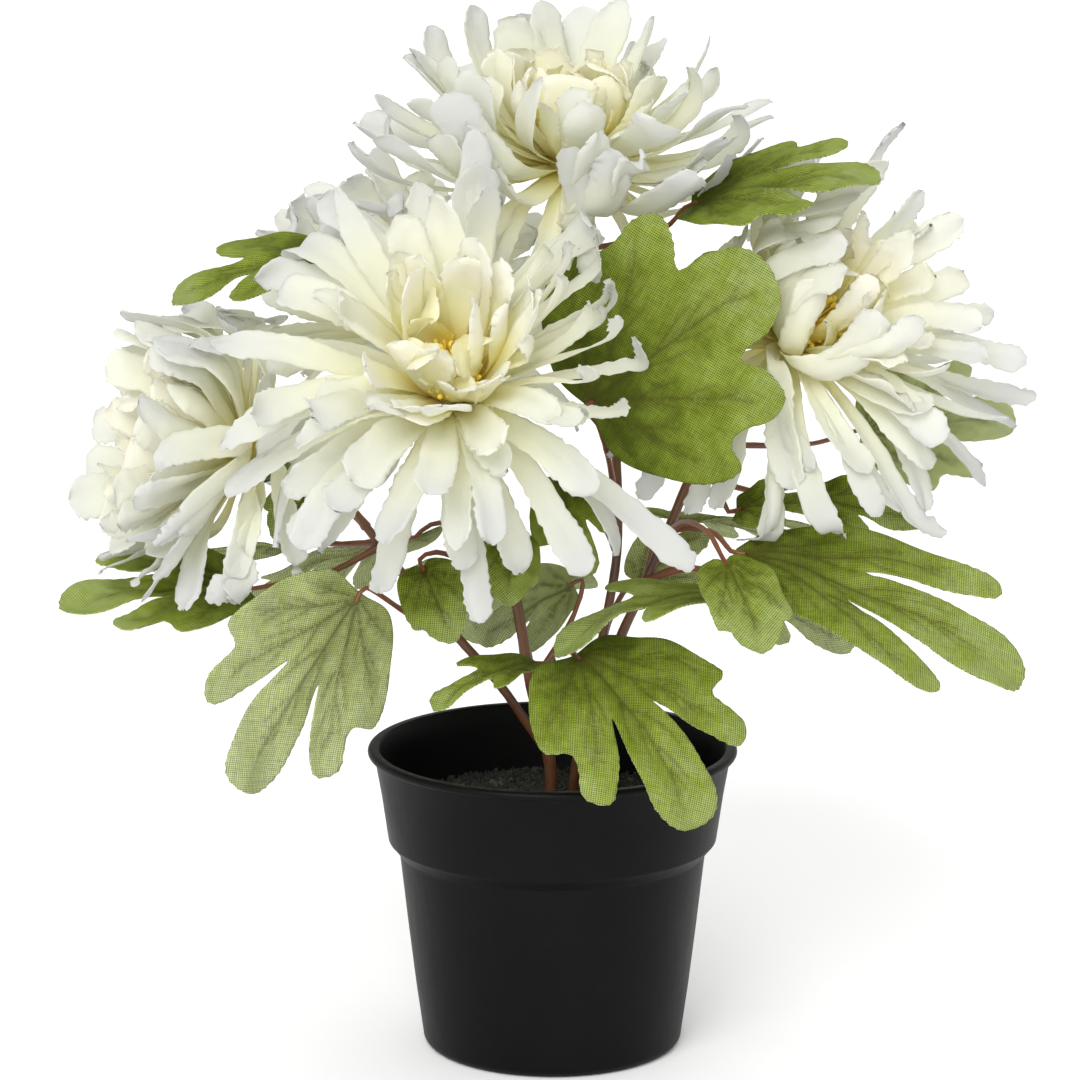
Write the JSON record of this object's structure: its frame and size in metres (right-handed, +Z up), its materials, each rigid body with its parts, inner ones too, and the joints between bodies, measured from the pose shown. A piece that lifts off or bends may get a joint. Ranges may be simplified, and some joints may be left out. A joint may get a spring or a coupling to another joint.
{
  "type": "potted chrysanthemum",
  "caption": "Potted chrysanthemum with large cream strap-petalled blooms and lobed green leaves on forked stems, set in a plain black tapered pot that stands on its flat base.",
  "frame": {"origin": "centre of the pot's flat underside, on the surface that it stands on", "axes": "+Z up along the pot's axis, -Y towards the side that the picture shows, +X to the right of that view"},
  "size_m": [0.308, 0.2312, 0.3385],
  "materials": {
    "pot_plastic": "satin black",
    "filling_granules": "matt dark granules",
    "stem_plastic": "satin reddish brown",
    "leaf_fabric": "matt woven green",
    "petal_fabric": "matt translucent cream",
    "stamen_plastic": "matt yellow",
    "cup_plastic": "matt green"
  },
  "bodies": {
    "root": {"filling": "filling_granules", "head_back_cup": "cup_plastic", "head_back_petals": "petal_fabric", "head_back_tuft": "stamen_plastic", "head_front_cup": "cup_plastic", "head_front_petals": "petal_fabric", "head_front_tuft": "stamen_plastic", "head_left_cup": "cup_plastic", "head_left_petals": "petal_fabric", "head_left_tuft": "stamen_plastic", "head_right_cup": "cup_plastic", "head_right_petals": "petal_fabric", "head_right_tuft": "stamen_plastic", "head_top_cup": "cup_plastic", "head_top_petals": "petal_fabric", "head_top_tuft": "stamen_plastic", "leaf_arch": "leaf_fabric", "leaf_back_high": "leaf_fabric", "leaf_back_left": "leaf_fabric", "leaf_back_low": "leaf_fabric", "leaf_back_outer": "leaf_fabric", "leaf_back_right": "leaf_fabric", "leaf_back_side": "leaf_fabric", "leaf_behind_between": "leaf_fabric", "leaf_between": "leaf_fabric", "leaf_far_right": "leaf_fabric", "leaf_front_left": "leaf_fabric", "leaf_front_rim": "leaf_fabric", "leaf_heart": "leaf_fabric", "leaf_left_low": "leaf_fabric", "leaf_left_tucked": "leaf_fabric", "leaf_mid_right": "leaf_fabric", "leaf_pale_left": "leaf_fabric", "leaf_pale_right": "leaf_fabric", "leaf_right_low": "leaf_fabric", "leaf_right_pale": "leaf_fabric", "leaf_right_tucked": "leaf_fabric", "leaf_rim_left": "leaf_fabric", "leaf_top_right": "leaf_fabric", "leaf_under_front": "leaf_fabric", "leaf_under_front_small": "leaf_fabric", "leaf_under_right": "leaf_fabric", "leaf_upper_left": "leaf_fabric", "pot": "pot_plastic", "stem_left": "stem_plastic", "stem_right": "stem_plastic"}
  },
  "joints": []
}
